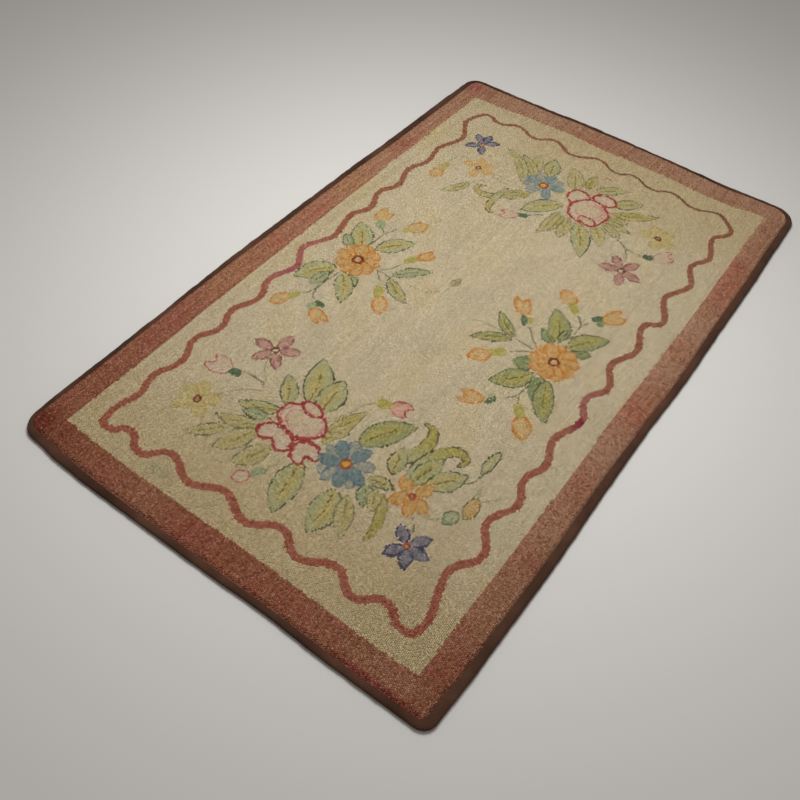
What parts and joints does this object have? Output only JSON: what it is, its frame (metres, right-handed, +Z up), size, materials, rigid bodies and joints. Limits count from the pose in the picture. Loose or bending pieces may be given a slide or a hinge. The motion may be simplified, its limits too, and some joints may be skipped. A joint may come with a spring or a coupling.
{
  "type": "hooked rug",
  "caption": "Flat rectangular floor rug of hooked wool loops, with uneven bowed sides, rounded corners and a rolled cloth tape binding round its edge.",
  "frame": {"origin": "on the floor under the middle of the rug's box", "axes": "+X along the short sides, +Y along the long sides, +Z up out of the pile"},
  "size_m": [0.9257, 1.5245, 0.0117],
  "materials": {
    "hooked_wool": "matt wool loops, cream field with a faded rose border and flower sprays",
    "binding_tape": "dark brown woven tape, matt"
  },
  "bodies": {
    "root": {"hooked_field": "hooked_wool", "edge_binding": "binding_tape"}
  },
  "joints": []
}
